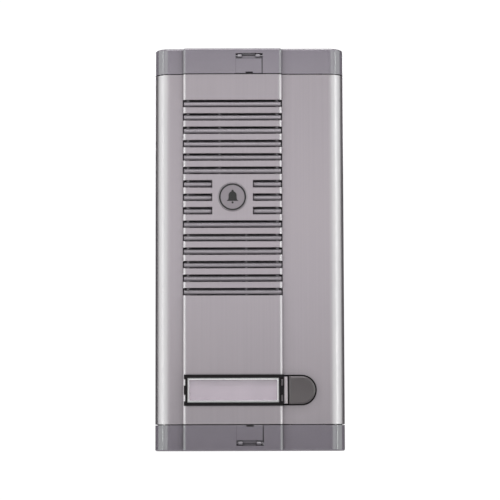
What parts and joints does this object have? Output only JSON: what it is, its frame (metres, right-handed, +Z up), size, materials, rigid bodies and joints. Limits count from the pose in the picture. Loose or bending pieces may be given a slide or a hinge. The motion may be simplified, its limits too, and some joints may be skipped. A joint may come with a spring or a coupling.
{
  "type": "door intercom entry panel",
  "caption": "Surface-mounted door entry panel: aluminium cover with louvred speech grille, name plate and call button, hinged screw flaps, wall box, speaker, microphone and amplifier.",
  "frame": {"origin": "middle of the wall face, on the wall plane", "axes": "X to the right seen from the front, Y from the front into the wall, Z up"},
  "size_m": [0.098, 0.0366, 0.209],
  "materials": {
    "anodised_aluminium": "satin anodised",
    "cap_plastic": "fine matt",
    "box_plastic": "matt",
    "louvre_plastic": "matt",
    "black_plastic": "satin",
    "button_plastic": "matt",
    "clear_plastic": "clear",
    "light_plastic": "translucent white",
    "card": "matt",
    "steel": "zinc plated",
    "magnet": "matt",
    "cone": "satin",
    "rubber": "matt",
    "seal": "foam",
    "mesh": "fine woven",
    "board": "solder mask",
    "component": "matt",
    "can": "brushed",
    "resistor": "gloss",
    "terminal": "satin",
    "trimmer": "satin",
    "rotor": "satin",
    "lamp": "diffused",
    "coil": "enamelled",
    "wire": "gloss",
    "badge": "satin"
  },
  "bodies": {
    "panel": {"front_cover": "anodised_aluminium", "top_end_cap": "cap_plastic", "bottom_end_cap": "cap_plastic", "cover_screws": "steel", "wall_box": "box_plastic", "cable_grommet": "rubber", "wall_seal": "seal", "module_chassis": "box_plastic", "louvre_insert": "louvre_plastic", "dust_screen": "mesh", "badge_disc": "badge", "badge_inlay": "black_plastic", "speaker_basket": "steel", "speaker_surround": "rubber", "speaker_cone": "cone", "speaker_dust_cap": "cone", "speaker_voice_coil": "coil", "speaker_top_plate": "steel", "speaker_magnet": "magnet", "speaker_yoke": "steel", "speaker_gasket": "seal", "speaker_terminal_strip": "component", "speaker_clamps": "steel", "speaker_clamp_screws": "steel", "microphone_boot": "rubber", "microphone_capsule": "can", "amplifier_board": "board", "board_screws": "steel", "amplifier_chips": "component", "electrolytic_capacitors": "component", "resistors": "resistor", "terminal_block": "terminal", "terminal_screws": "steel", "trimmer_bodies": "trimmer", "name_lamps": "lamp", "switch_body": "component", "button_frame": "black_plastic", "frame_screws": "steel", "light_guide": "light_plastic", "button_spring": "steel", "speaker_leads": "wire", "microphone_leads": "wire"},
    "top_flap": {"top_screw_flap": "cap_plastic"},
    "bottom_flap": {"bottom_screw_flap": "cap_plastic"},
    "name_plate": {"name_holder": "black_plastic", "name_card": "card", "name_window": "clear_plastic"},
    "button": {"call_button": "button_plastic"},
    "plunger": {"switch_plunger": "rotor"},
    "speaker_volume": {"speaker_volume_rotor": "rotor"},
    "microphone_volume": {"microphone_volume_rotor": "rotor"}
  },
  "joints": [
    {"name": "top_flap_hinge", "type": "hinge", "parent": "panel", "child": "top_flap", "pos_m": [0, -0.03495, 0.10045], "axis": [-1, 0, 0], "range_deg": [0, 86]},
    {"name": "bottom_flap_hinge", "type": "hinge", "parent": "panel", "child": "bottom_flap", "pos_m": [0, -0.03495, -0.10045], "axis": [1, 0, 0], "range_deg": [0, 86]},
    {"name": "name_plate_pull", "type": "slide", "parent": "panel", "child": "name_plate", "axis": [0, -1, 0], "range_m": [0, 0.012]},
    {"name": "call_button_press", "type": "slide", "parent": "panel", "child": "button", "axis": [0, 1, 0], "range_m": [0, 0.0015], "stiffness_N_per_m": 600, "springref_m": -0.0025, "deforming": ["button_spring"]},
    {"name": "switch_plunger_press", "type": "slide", "parent": "panel", "child": "plunger", "axis": [0, 1, 0], "range_m": [0, 0.0015]},
    {"name": "speaker_volume_turn", "type": "hinge", "parent": "panel", "child": "speaker_volume", "pos_m": [-0.03, -0.01, -0.018], "axis": [0, 1, 0], "range_deg": [-135, 135]},
    {"name": "microphone_volume_turn", "type": "hinge", "parent": "panel", "child": "microphone_volume", "pos_m": [-0.03, -0.01, -0.03], "axis": [0, 1, 0], "range_deg": [-135, 135]}
  ],
  "couplings": [
    {"joint": "switch_plunger_press", "follows": "call_button_press", "ratio": 1}
  ]
}
